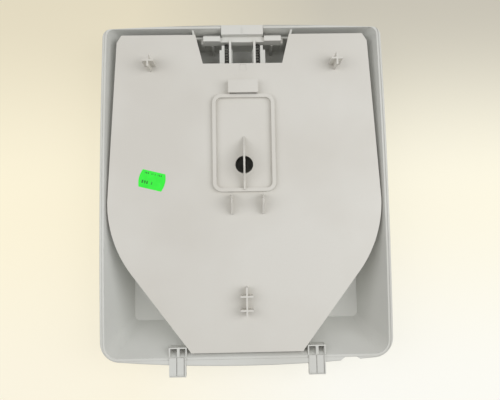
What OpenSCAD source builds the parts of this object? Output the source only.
// Detergent dispenser that hangs in the lid of a top-loading washing machine.
// It lies on its front panel with its back up. +Y points to the latch, +Z out of the back.
// The origin is the middle of the whole outline, on the front panel's outer face.

/* [Shell] */
// Width over the rim, at the middle of its bowed sides
rim_w = 287; // [250:1:345]
// Length over the rim, at the middle of its bowed ends
rim_l = 340; // [300:1:410]
// Height from the front panel to the top of the rim
shell_h = 46.5; // [44:0.5:60]
// Wall thickness of the shell
wall_t = 2.2; // [1.8:0.1:3]
// Thickness of the front panel
panel_t = 2.5; // [2:0.1:3.5]
// Height of the upright band of the rim
band_h = 9; // [7:0.5:12]
// How far the hinge side bows outward
bow_low = 7; // [0:0.5:10]
// How far the latch side bows outward
bow_high = 3.5; // [0:0.5:6]
// How far each long side bows outward
bow_side = 1.9; // [0:0.1:3]
// Corner radius of the rim on the hinge side
rim_r_low = 17; // [14:1:30]
// Corner radius of the rim on the latch side
rim_r_high = 8; // [6:1:14]
// Rounding along the top edge of the rim
rim_edge = 0.9; // [0.4:0.1:1.2]
// Width of the rim's top beside the opening, on the long sides
lip_side = 4.2; // [4:0.1:8]
// Width of the rim's top on the latch side
lip_high = 3.5; // [3:0.5:8]
// Width of the rim's top on the hinge side
lip_low = 8.7; // [6:0.1:12]
// Width of the step just inside the rim's bead
step_w = 2.2; // [1:0.1:2.6]
// Depth of that step
step_d = 0.8; // [0.4:0.1:1.5]
// How far the long walls lean in from the opening to the panel
lean_side = 20; // [10:1:26]
// How far the hinge side's wall leans in
lean_low = 30; // [15:1:34]
// How far the latch side's wall leans in
lean_high = 8; // [4:1:14]
// Corner radius where the walls meet the panel
foot_r = 6; // [4:1:12]
// Rounding of the front panel's outer edge
foot_edge = 2; // [1:0.5:3]

/* [Back plate] */
// Thickness of the back plate
plate_t = 2.5; // [2:0.1:3]
// Depth of the plate's face below the rim
plate_recess = 1.5; // [1:0.1:2.5]
// Distance from the rim's outer edge to the plate at its widest
plate_side_gap = 7.4; // [7.2:0.1:12]
// Extra distance at the latch end, where the plate is narrower
plate_taper = 8.5; // [2:0.5:12]
// Distance from the rim's outer edge to the plate at the latch end
plate_top_gap = 9.7; // [9:0.1:14]
// Distance from the rim's outer edge to the plate at the hinge end
plate_low_gap = 12.4; // [12:0.1:16]
// Width of the plate's straight edge at the hinge end
plate_foot_w = 112.4; // [104:0.1:114]
// Radius of the curved shoulders
shoulder_r = 118; // [100:1:125]
// Height of the shoulders' start above the middle of the rim
shoulder_y = -10; // [-30:1:10]
// Chamfer at the plate's two corners on the latch side
plate_chamfer = [4.7, 7.8]; // [2:0.1:9]

/* [Water inlet] */
// Width of the raised collar
collar_w = 62.6; // [50:0.1:80]
// Length of the raised collar
collar_l = 98.6; // [80:0.1:110]
// Height of the collar above the plate
collar_h = 3.5; // [2:0.1:6]
// Thickness of the collar's wall
collar_t = 3.6; // [2:0.1:5]
// Outer corner radius of the collar
collar_r = 9; // [6:0.5:14]
// Middle of the collar above the middle of the rim
collar_y = 48; // [40:1:55]
// Diameter of the inlet hole
inlet_d = 17.8; // [12:0.1:24]
// Distance from the collar's middle down to the inlet hole
inlet_drop = 22; // [15:1:30]
// Height of the divider fin above the plate
fin_h = 18; // [10:0.5:22]
// Thickness of the divider fin
fin_t = 1.8; // [1.2:0.1:3]

/* [Fittings on the plate] */
// Height of the two cross pins
pin_h = 17; // [10:0.5:22]
// Span of each cross pin's arms, across and along
pin_span = [11.2, 12.4]; // [6:0.1:16]
// Thickness of the pins, the blades and the post
rib_t = 1.7; // [1.2:0.1:2.5]
// Distance between the two cross pins
pin_pitch = 187; // [170:1:195]
// Distance from the pins up to the plate's edge on the latch side
pin_inset = 32; // [30:1:40]
// Size of the hood above the collar: width, length, height
hood = [29.8, 13.2, 8]; // [7:0.1:34]
// Positions of the two eyelet blades left and right of the middle line
blade_x = [-12.8, 18]; // [-26:0.1:26]
// Height of the eyelet blades
blade_h = 15.5; // [10:0.5:18]
// Length of the eyelet blades
blade_l = 19.5; // [16:0.5:24]
// Diameter of the eyelets
eyelet_d = 3.6; // [2:0.1:4]
// Length of the double-cross post
post_l = 28; // [20:0.5:34]
// Height of the double-cross post
post_h = 12; // [8:0.5:16]
// Distance of the post's middle below the middle of the rim
post_y = -108.5; // [-112:0.5:-95]

/* [Latch] */
// Width of the cut-out at the plate's edge
cutout_w_top = 95.6; // [92:0.1:104]
// Width of the cut-out at its lower edge
cutout_w_low = 80.6; // [78:0.1:90]
// Depth of the cut-out
cutout_d = 30.3; // [28:0.1:36]
// Width of the push button
button_w = 42.6; // [34:0.1:50]
// Travel of the catch slide
latch_travel = 4; // [3:0.1:5]
// Width over the two catch blocks
catch_span = 79.6; // [70:0.1:82]
// Width of each catch block
catch_w = 17.4; // [12:0.1:20]
// Thickness of the slide's cross bar
bar_t = 5; // [4:0.1:6]
// Height of the slide's cross bar
bar_h = 12.5; // [10:0.1:14]
// Thickness of the slide's legs
leg_t = 2.3; // [1.8:0.1:3]
// Width between the slide's legs
leg_gap = 22.6; // [18:0.1:26]
// Outer diameter of the coil springs
spring_d = 4.2; // [3.4:0.1:4.6]
// Wire diameter of the coil springs
wire_d = 0.6; // [0.4:0.1:0.8]
// Number of turns of each spring
spring_turns = 11; // [8:1:14]
// Width of each spring channel
channel_w = 4.7; // [4.6:0.1:5.2]
// Running clearance round the slide
latch_clearance = 0.2; // [0.15:0.05:0.3]

/* [Hinge lugs] */
// How far the lugs stand out beyond the rim
lug_reach = 10; // [9:0.5:14]
// Width of each lug
lug_w = 16; // [12:0.1:18]
// Distance between the inner faces of the lugs
lug_pitch_in = 118.6; // [118:0.1:130]
// Diameter of the hinge bore
hinge_d = 4; // [3:0.1:4.4]
// Outer diameter of the rounded lug end
lug_end_d = 7.4; // [7:0.1:9]
// Height of the lug above the rim
lug_rise = 0.8; // [0:0.1:2]

/* [Chambers] */
// Distance of the side chambers' partitions from the middle line
partition_x = 54; // [50:1:58]
// Thickness of the chamber walls
chamber_t = 2; // [1.6:0.1:2.6]
// Size of the main mouth in the panel
main_mouth = [76, 50]; // [40:1:84]
// Size of each side mouth in the panel
side_mouth = [44, 50]; // [30:1:50]
// Height of the lips round the mouths
lip_h = 10; // [6:0.5:14]
// Outer diameter of the siphon tube
siphon_d = 10; // [8:0.1:12]
// Height of the siphon tube above the panel
siphon_h = 20; // [14:0.5:24]
// Outer diameter of the siphon cap
cap_d = 17; // [15:0.1:20]

/* [Label] */
// Width and height of the stock label
label_size = [26.4, 17.8]; // [12:0.1:36]
// Thickness of the stock label
label_t = 0.2; // [0.1:0.05:0.3]

/* [Hidden] */
$fn = 48;
eps = 0.01;
past = 1;
side_steps = 10;
corner_steps = 7;

// Levels above the front panel's face
plate_top = shell_h - plate_recess;
plate_low = plate_top - plate_t;
step_z = shell_h - step_d;
band_z = shell_h - band_h;

// Outline limits about the middle of the rim: half width, hinge end, latch end
rim_x = rim_w / 2 - bow_side;
rim_y0 = -rim_l / 2 + bow_low;
rim_y1 = rim_l / 2 - bow_high;
open_x = rim_x - lip_side;
open_y0 = -rim_l / 2 + lip_low;
open_y1 = rim_l / 2 - lip_high;
open_r_low = rim_r_low - 4;
open_r_high = rim_r_high - 1;
foot_x = open_x - lean_side;
foot_y0 = open_y0 + lean_low;
foot_y1 = open_y1 - lean_high;
lean_h = step_z - panel_t;
flange_t = 2.5;
mouth_r = 8;

// Plate outline
plate_x = rim_w / 2 - plate_side_gap;
plate_top_x = plate_x - plate_taper;
plate_y1 = rim_l / 2 - plate_top_gap;
plate_y0 = -rim_l / 2 + plate_low_gap;
plate_toe = [2, 3];
seat_inset = 2.5;

// Latch layout, from the cut-out's lower edge upwards
cutout_y = plate_y1 - cutout_d;
leg_x = leg_gap / 2;
channel_x = leg_x + leg_t;
rail_x = channel_x + channel_w;
rail_t = 2.8;
rail_foot_t = 5;
rail_foot_l = 15;
rail_end_y = cutout_y + 19.7;
bar_y = rail_end_y + latch_travel + 0.3;
bar_top = plate_top - 1.5;
bar_low = bar_top - bar_h;
ear_l = 2.4;
ear_h = 5;
ear_x = catch_span / 2 + ear_l;
spring_y0 = cutout_y - 8;
spring_bed_z = bar_low + 0.4;
spring_z = spring_bed_z + spring_d / 2 + 0.2;
button_y = bar_y + bar_t + 0.7;
button_low = shell_h - 7;
well_gap = 0.4;

// Lug layout
lug_y = -rim_l / 2 - lug_reach + lug_end_d / 2;
lug_top = shell_h + lug_rise;
lug_root_y = open_y0 + 0.3;
well_l = 9.2;
well_rim = 0.6;
well_z = band_z - 8;

// Colours of the light grey mouldings, the steel and the label
moulding = [0.86, 0.86, 0.85];
plate_grey = [0.87, 0.86, 0.84];
steel = [0.35, 0.35, 0.36];
label_green = [0.24, 0.98, 0.25];

// The rim's middle lies half the lugs' reach above the origin
module place() {
    translate([0, lug_reach / 2, 0]) children();
}

module both_sides() {
    children();
    mirror([1, 0, 0]) children();
}

function arc(c, r, a0, a1, n) = [for (i = [0:n])
    let (a = a0 + (a1 - a0) * i / n)
    c + r * [cos(a), sin(a)]];

function between(p, q, n) = [for (i = [1:n - 1]) p + (q - p) * i / n];

// Rounded rectangle about x = 0 with its own corner radius at each end, counter-clockwise
function round_rect(x, y0, y1, r0, r1) = concat(
    arc([x - r0, y0 + r0], r0, -90, 0, corner_steps),
    between([x, y0 + r0], [x, y1 - r1], side_steps),
    arc([x - r1, y1 - r1], r1, 0, 90, corner_steps),
    between([x - r1, y1], [r1 - x, y1], side_steps),
    arc([r1 - x, y1 - r1], r1, 90, 180, corner_steps),
    between([-x, y1 - r1], [-x, y0 + r0], side_steps),
    arc([r0 - x, y0 + r0], r0, 180, 270, corner_steps),
    between([r0 - x, y0], [x - r0, y0], side_steps));

// The same points pushed outward, most at the middle of each side
function bowed(points, x, y0, y1, low, high, side) = [for (p = points)
    let (u = p[0] / x, v = p[1] < 0 ? p[1] / y0 : p[1] / y1)
    [p[0] + side * u * (1 - v * v), p[1] + (p[1] < 0 ? -low : high) * v * (1 - u * u)]];

function rim_outline(inset) = bowed(
    round_rect(rim_x - inset, rim_y0 + inset, rim_y1 - inset, rim_r_low - inset, rim_r_high - inset),
    rim_x, rim_y0, rim_y1, bow_low, bow_high, bow_side);

// Counter-clockwise convex outline moved inward by d
function inset(points, d) = [for (i = [0:len(points) - 1])
    let (n = len(points),
         a = points[(i + n - 1) % n],
         b = points[i],
         c = points[(i + 1) % n],
         na = [b[1] - a[1], a[0] - b[0]] / norm(b - a),
         nb = [c[1] - b[1], b[0] - c[0]] / norm(c - b))
    b - d * (na + nb) / (1 + na * nb)];

// Right half of the plate's outline, from the hinge end up:
// toe, straight flank, shoulder arc, tapered side and chamfer
function plate_half() =
    let (c = [plate_x - shoulder_r, shoulder_y],
         f = [plate_foot_w / 2, plate_y0 + plate_toe[1]],
         d = f - c,
         turn = atan2(d[1], d[0]) + acos(shoulder_r / norm(d)))
    concat([[f[0] - plate_toe[0], plate_y0], f],
           arc(c, shoulder_r, turn, 0, 14),
           [[plate_top_x, plate_y1 - plate_chamfer[1]], [plate_top_x - plate_chamfer[0], plate_y1]]);

function mirrored(points) = [for (i = [len(points) - 1:-1:0]) [-points[i][0], points[i][1]]];

function plate_outline() = concat(plate_half(), mirrored(plate_half()));

// The trapezoid of the latch cut-out, widened by g and open beyond the plate's edge
module cutout_shape(g) {
    slope = (cutout_w_top - cutout_w_low) / 2 / cutout_d;
    rise = 12;
    polygon([[-cutout_w_low / 2 - g, cutout_y - g],
             [cutout_w_low / 2 + g, cutout_y - g],
             [cutout_w_top / 2 + g + slope * rise, plate_y1 + rise],
             [-cutout_w_top / 2 - g - slope * rise, plate_y1 + rise]]);
}

module slab(points, z, t) {
    translate([0, 0, z]) linear_extrude(t) polygon(points);
}

module rounded_plate(size, r, h) {
    linear_extrude(h) polygon(round_rect(size[0] / 2, -size[1] / 2, size[1] / 2, r, r));
}

module frame(size, r, t, h) {
    difference() {
        rounded_plate(size, r, h);
        translate([0, 0, -past]) rounded_plate(size - [2 * t, 2 * t], r - t, h + 2 * past);
    }
}

// Housing

// Outline of the drafted walls' outer face at the panel
function foot_outer(inset_by) =
    let (grow = wall_t + 0.2)
    round_rect(foot_x + grow - inset_by, foot_y0 - grow + inset_by, foot_y1 + grow - inset_by,
               foot_r + grow - inset_by, foot_r + grow - inset_by);

// Outline of the walls' outer face where it meets the band
function shoulder_outer() =
    let (k = (band_z - panel_t) / lean_h, grow = wall_t + 0.4)
    round_rect(foot_x + k * lean_side + grow, foot_y0 - k * lean_low - grow, foot_y1 + k * lean_high + grow,
               foot_r + k * (open_r_low - foot_r) + grow, foot_r + grow);

module drafted_body() {
    hull() {
        slab(foot_outer(foot_edge), 0, eps);
        slab(foot_outer(0), foot_edge, eps);
        slab(shoulder_outer(), band_z, eps);
    }
}

module rim_band() {
    hull() {
        slab(rim_outline(0), band_z, band_h - rim_edge);
        slab(rim_outline(rim_edge), shell_h - eps, eps);
    }
}

// The band is a skirt: between it and the walls the rim is hollow from below
module rim_hollow() {
    difference() {
        slab(rim_outline(wall_t), band_z - past, band_h - flange_t + past);
        hull() {
            slab(shoulder_outer(), band_z - past - eps, eps);
            slab(opening(wall_t), shell_h, eps);
        }
    }
}

function opening(grow) = bowed(
    round_rect(open_x + grow, open_y0 - grow, open_y1 + grow, open_r_low + grow, open_r_high + grow),
    open_x, open_y0, open_y1, 0, 0, bow_side);

module cavity() {
    hull() {
        slab(round_rect(foot_x, foot_y0, foot_y1, foot_r, foot_r), panel_t, eps);
        slab(opening(0), step_z, eps);
    }
    slab(opening(0), step_z, step_d + past);
    slab(opening(step_w), step_z, step_d + past);
}

// Volume inside the drafted walls, used to trim what stands on the panel
module envelope() {
    hull() {
        slab(foot_outer(foot_edge), 1, eps);
        slab(shoulder_outer(), band_z, eps);
        slab(opening(-0.3), plate_low - eps, eps);
    }
}

module perimeter_wall() {
    difference() {
        slab(inset(plate_outline(), seat_inset), 1, plate_low - 1);
        slab(inset(plate_outline(), seat_inset + chamber_t), 0, shell_h);
        translate([0, 0, -past]) linear_extrude(shell_h) cutout_shape(well_gap);
    }
}

module latch_well() {
    translate([0, 0, 1]) linear_extrude(plate_low - 1) difference() {
        well_shape(well_gap + chamber_t);
        well_shape(well_gap);
    }
}

// The well reaches further under the plate than the cut-out, to hold the springs
module well_shape(g) {
    union() {
        cutout_shape(g);
        translate([-cutout_w_low / 2 - g, spring_y0 + well_gap - g]) square([cutout_w_low + 2 * g, cutout_d]);
    }
}

module partitions() {
    notch_z = plate_low - 7;
    notch_l = 26;
    both_sides() difference() {
        intersection() {
            translate([partition_x, plate_y0, 1]) cube([chamber_t, plate_y1 - plate_y0, plate_low - 1]);
            slab(inset(plate_outline(), seat_inset + eps), 0, shell_h);
        }
        translate([partition_x - past, collar_y - inlet_drop - notch_l / 2, notch_z])
            cube([chamber_t + 2 * past, notch_l, shell_h]);
    }
}

// Rails beside the springs and the beds the springs lie on
module guide_rails() {
    top = plate_low - 0.2;
    bed_l = bar_y - latch_travel - 0.3 - spring_y0;
    both_sides() {
        translate([rail_x, spring_y0 - eps, 1]) cube([rail_t, rail_end_y - spring_y0, top - 1]);
        translate([rail_x, spring_y0 - eps, 1]) cube([rail_foot_t, rail_foot_l + 8, top - 1]);
        translate([channel_x - leg_t - 1, spring_y0 - eps, 1])
            cube([channel_w + leg_t + 1 + eps, bed_l, spring_bed_z - 1]);
    }
}

// Ribs that carry the cross bar and the button, and the stops in front of the bar's ears
module slide_beds() {
    bed_z = bar_low - latch_clearance;
    stop_y = bar_y + bar_t + latch_clearance;
    both_sides() {
        translate([30, bar_y - 0.5, 1]) cube([2, 20, bed_z - 1]);
        translate([ear_x - 1.6, stop_y, 1])
            cube([cutout_w_top / 2 + well_gap - ear_x + 3, 2, bar_low + ear_h - 1]);
        translate([9, button_y + 2.5, 1]) cube([2, 9, button_low - latch_clearance - 1]);
    }
}

module mouth_lips() {
    border = [2, 2] * chamber_t;
    r = mouth_r + chamber_t;
    h = lip_h + panel_t - 1;
    translate([0, main_mouth_y(), 1]) frame(main_mouth + border, r, chamber_t, h);
    both_sides() translate([side_mouth_x(), main_mouth_y(), 1]) frame(side_mouth + border, r, chamber_t, h);
}

function main_mouth_y() = spring_y0 - chamber_t - main_mouth[1] / 2 - 8;
function side_mouth_x() = (partition_x + chamber_t + foot_x) / 2 - 1;
function siphon_pos() = [side_mouth_x(), main_mouth_y() - side_mouth[1] / 2 - 30];

module mouth_cuts() {
    h = panel_t + 2 * past;
    translate([0, main_mouth_y(), -past]) rounded_plate(main_mouth, mouth_r, h);
    both_sides() translate([side_mouth_x(), main_mouth_y(), -past]) rounded_plate(side_mouth, mouth_r, h);
    translate([siphon_pos()[0], siphon_pos()[1], -past]) cylinder(d = siphon_d - 2 * chamber_t, h = shell_h);
}

module siphon_tube() {
    translate([siphon_pos()[0], siphon_pos()[1], 1]) cylinder(d = siphon_d, h = siphon_h + panel_t - 1);
}

// One lug with its cored wells, for the right-hand side
module hinge_lug() {
    x = lug_pitch_in / 2;
    end_z = lug_top - lug_end_d / 2;
    thick = lug_end_d + 1.5;
    difference() {
        union() {
            translate([x, lug_y, end_z]) rotate([0, 90, 0]) cylinder(d = lug_end_d, h = lug_w);
            translate([x, lug_y, lug_top - lug_end_d]) cube([lug_w, lug_root_y - lug_y, lug_end_d]);
            translate([x, -rim_l / 2 - past, lug_top - thick])
                cube([lug_w, lug_root_y + rim_l / 2 + past, thick]);
            translate([x - well_rim, lug_root_y - eps, well_z])
                cube([lug_w + 2 * well_rim, well_l, plate_top - well_z]);
        }
        translate([x - past, lug_y, end_z]) rotate([0, 90, 0]) cylinder(d = hinge_d, h = lug_w + 2 * past);
        lug_grooves(x);
        lug_pits(x);
        lug_wells(x);
    }
}

module lug_grooves(x) {
    groove = 0.7;
    depth = 1.1;
    for (dx = [7.3, 14.4]) {
        translate([x + dx - groove / 2, lug_y - lug_end_d, lug_top - depth])
            cube([groove, lug_root_y - lug_y + lug_end_d + past, depth + past]);
    }
}

// Small recesses in the rounded end, where the mould's slides met
module lug_pits(x) {
    pit = [1.6, 1.2, 1.4];
    for (dx = [0, 7.3, lug_w - pit[0]]) {
        translate([x + dx - eps, lug_y - lug_end_d / 2 + 0.7, lug_top - pit[2]])
            cube(pit + [2 * eps, 0, past]);
    }
}

// Two cored cells behind the lug, with a thick web between them
module lug_wells(x) {
    cells = [6.5, 5.6];
    middle = 2.6;
    web = (lug_w + 2 * well_rim - cells[0] - cells[1] - middle) / 2;
    for (i = [0, 1]) {
        translate([x - well_rim + web + i * (cells[0] + middle), lug_root_y + 0.4, well_z + 1])
            cube([cells[i], well_l - 1.6, shell_h]);
    }
}

// Shallow notch in the rim's edge on the hinge side, right of the right-hand lug
module rim_notch() {
    x = 100;
    y = -rim_l / 2 + bow_low * pow(x / rim_x, 2);
    depth = 3;
    mouth = 9.5;
    floor = 5.5;
    translate([0, 0, band_z - past]) linear_extrude(band_h + 2 * past)
        polygon([[x - mouth, y - depth], [x - mouth, y], [x - floor, y + depth], [x + floor, y + depth],
                 [x + mouth, y + 0.6], [x + mouth, y - depth]]);
}

module button_notch() {
    w = button_w + 2 * latch_clearance;
    translate([-w / 2, button_y - 1, button_low - latch_clearance]) cube([w, 40, shell_h]);
}

module housing() {
    color(moulding) place() difference() {
        union() {
            difference() {
                union() {
                    drafted_body();
                    difference() {
                        rim_band();
                        rim_hollow();
                    }
                }
                cavity();
            }
            intersection() {
                envelope();
                union() {
                    perimeter_wall();
                    latch_well();
                    partitions();
                    guide_rails();
                    slide_beds();
                    mouth_lips();
                    siphon_tube();
                }
            }
            hinge_lug();
            translate([-lug_pitch_in - lug_w, 0, 0]) hinge_lug();
        }
        mouth_cuts();
        rim_notch();
        button_notch();
    }
}

// Back plate

module collar() {
    translate([0, collar_y, plate_top - eps]) frame([collar_w, collar_l], collar_r, collar_t, collar_h + eps);
}

// Shark-fin profile: steep towards the latch, tailing off into the collar's wall
module divider_fin() {
    peak = -inlet_drop;
    tip = peak + 28.5;
    tail = -collar_l / 2 + collar_t / 2;
    translate([fin_t / 2, collar_y, plate_top - eps]) rotate([90, 0, -90]) linear_extrude(fin_t)
        polygon([[-tip, 0], [-tip + 11, fin_h * 0.6], [-tip + 17.5, fin_h * 0.85],
                 [-peak - 4, fin_h * 0.97], [-peak, fin_h], [-peak + 4, fin_h * 0.95],
                 [-peak + 11, fin_h * 0.66], [-peak + 18, fin_h * 0.36], [-tail, fin_h * 0.3], [-tail, 0]]);
}

module cross_pin() {
    translate([-pin_span[0] / 2, -rib_t / 2, 0]) cube([pin_span[0], rib_t, pin_h]);
    translate([-rib_t / 2, -pin_span[1] / 2, 0]) cube([rib_t, pin_span[1], pin_h]);
}

module double_cross_post() {
    arm = 12.6;
    arm_pitch = 13.2;
    translate([-rib_t / 2, -post_l / 2, 0]) cube([rib_t, post_l, post_h]);
    for (s = [-1, 1]) {
        translate([-arm / 2, s * arm_pitch / 2 - rib_t / 2 - 1.5, 0]) cube([arm, rib_t, post_h]);
    }
}

// Thin upright blade with a nose towards the latch and an eyelet near its root
module eyelet_blade() {
    l = blade_l;
    h = blade_h;
    translate([rib_t / 2, 0, 0]) rotate([90, 0, -90]) difference() {
        linear_extrude(rib_t)
            polygon([[-l / 2, 0], [-l / 2 + 0.5, h * 0.55], [-l / 2 + 3, h * 0.8], [-l / 2 + 5.5, h],
                     [-l / 2 + 9.5, h * 0.88], [l / 2, h * 0.25], [l / 2, 0]]);
        translate([-l / 2 + 5.6, 3.8, -past]) cylinder(d = eyelet_d, h = rib_t + 2 * past);
    }
}

// Low hood whose open end looks over the collar's wall
module hood_box() {
    t = 1.8;
    difference() {
        translate([-hood[0] / 2, 0, 0]) cube(hood);
        translate([-hood[0] / 2 + t, -past, -eps]) cube([hood[0] - 2 * t, hood[1] - t + past, hood[2] - t]);
    }
}

module back_plate() {
    collar_end = collar_y + collar_l / 2;
    color(plate_grey) place() difference() {
        union() {
            difference() {
                slab(plate_outline(), plate_low, plate_t);
                translate([0, 0, plate_low - past]) linear_extrude(plate_t + 2 * past) cutout_shape(0);
            }
            collar();
            divider_fin();
            translate([0, collar_end + 0.2, plate_top - eps]) hood_box();
            both_sides() translate([pin_pitch / 2, plate_y1 - pin_inset, plate_top - eps]) cross_pin();
            for (x = blade_x) {
                translate([x, collar_y - collar_l / 2 - 12.6, plate_top - eps]) eyelet_blade();
            }
            translate([0.4, post_y, plate_top - eps]) double_cross_post();
        }
        inlet_cut();
        mould_mark();
    }
}

// The hole passes under the fin, which bridges it
module inlet_cut() {
    translate([0, collar_y - inlet_drop, plate_low - past]) cylinder(d = inlet_d, h = plate_t + past);
}

module mould_mark() {
    size = [6.8, 6.2];
    depth = 0.3;
    translate([0.2, cutout_y - 4.4, plate_top]) cube([size[0], size[1], 2 * depth], center = true);
}

// Catch slide

module catch_block() {
    l = bar_t + 3.2;
    h = 7.5;
    translate([catch_span / 2, 0, bar_top - h]) rotate([90, 0, -90]) linear_extrude(catch_w)
        polygon([[-l, 0], [-l, h - 5.2], [-bar_t + 0.4, h], [0, h], [0, 0]]);
}

module push_button() {
    rib = [1.4, 6, 0.5];
    end_y = rim_l / 2 - 0.5;
    top = shell_h - 0.2;
    translate([-button_w / 2, button_y, button_low]) cube([button_w, end_y - button_y, top - button_low]);
    translate([-rib[0] / 2, button_y + 1.5, top - eps]) cube(rib);
}

module latch_slide() {
    centre_drop = 3.2;
    leg_z = bar_low + 1;
    leg_y = spring_y0 + latch_travel + 2.4;
    leg_top = plate_low - latch_clearance;
    inner_w = catch_span - 2 * catch_w;
    web_w = inner_w - 4;
    low_top = bar_top - centre_drop;
    color(moulding) place() {
        translate([-ear_x, bar_y, bar_low]) cube([2 * ear_x, bar_t, ear_h]);
        translate([-catch_span / 2, bar_y, bar_low]) cube([catch_span, bar_t, low_top - bar_low]);
        both_sides() {
            translate([inner_w / 2, bar_y, low_top - eps]) cube([catch_w, bar_t, centre_drop + eps]);
            translate([0, bar_y, 0]) catch_block();
            translate([leg_x, leg_y, leg_z]) cube([leg_t, bar_y - leg_y + eps, leg_top - leg_z]);
            translate([leg_x, bar_y - eps, low_top - eps]) cube([leg_t, 1.5, leg_top - low_top]);
        }
        translate([-web_w / 2, bar_y + bar_t - 1.5, bar_low])
            cube([web_w, button_y - bar_y - bar_t + 3, low_top - bar_low]);
        push_button();
    }
}

// Springs

// Centre line of a coil from y = 0 to y = l
function coil_point(t, l, r, turns) = [r * cos(360 * turns * t), l * t, r * sin(360 * turns * t)];

module coil(l, d, wire, turns) {
    sides = 6;
    per_turn = 12;
    n = turns * per_turn;
    r = (d - wire) / 2;
    points = [for (i = [0:n], j = [0:sides - 1])
        let (a = 360 * turns * i / n, b = 360 * j / sides, out = wire / 2 * cos(b), along = wire / 2 * sin(b))
        coil_point(i / n, l - wire, r, turns) + [out * cos(a), along + wire / 2, out * sin(a)]];
    ring = [for (j = [0:sides - 1]) j];
    skin = [for (i = [0:n - 1], j = [0:sides - 1])
        let (a = i * sides + j, b = i * sides + (j + 1) % sides)
        [a, a + sides, b + sides, b]];
    start = [for (j = ring) sides - 1 - j];
    finish = [for (j = ring) n * sides + j];
    polyhedron(points, concat([start], skin, [finish]), convexity = 10);
}

module latch_spring(side) {
    end_gap = 0.3;
    color(steel) place() translate([side * (channel_x + channel_w / 2), spring_y0 + end_gap, spring_z])
        coil(bar_y - spring_y0 - 2 * end_gap, spring_d, wire_d, spring_turns);
}

module latch_spring_left() {
    latch_spring(-1);
}

module latch_spring_right() {
    latch_spring(1);
}

// Siphon cap: stands on the panel on its castellated foot, ribs inside centre it on the tube
module siphon_cap() {
    t = 1.5;
    h = siphon_h + 4.5;
    grip = 0.05;
    rib_foot = 4;
    rib_w = 1.2;
    rib_x = siphon_d / 2 + grip;
    color(moulding) place() translate([siphon_pos()[0], siphon_pos()[1], panel_t]) difference() {
        union() {
            difference() {
                cylinder(d = cap_d, h = h);
                translate([0, 0, -past]) cylinder(d = cap_d - 2 * t, h = h - t + past);
            }
            for (a = [30:120:270]) {
                rotate([0, 0, a]) translate([rib_x, -rib_w / 2, rib_foot])
                    cube([(cap_d - t) / 2 - rib_x, rib_w, h - t / 2 - rib_foot]);
            }
        }
        for (a = [90:120:330]) {
            rotate([0, 0, a]) translate([0, -2, -past]) cube([cap_d, 4, 3 + past]);
        }
    }
}

// Stock label: straight long edges, bulged ends
module price_label() {
    w = label_size[0];
    l = label_size[1];
    bulge = 1.8;
    end = [for (i = [-4:4]) [w / 2 - bulge * pow(i / 4, 2), l / 2 * i / 4]];
    color(label_green) place() translate([-91.9, 11.4, plate_top]) rotate([0, 0, -14]) linear_extrude(label_t)
        polygon(concat(end, mirrored(end)));
}

housing();
back_plate();
latch_slide();
latch_spring_left();
latch_spring_right();
siphon_cap();
price_label();
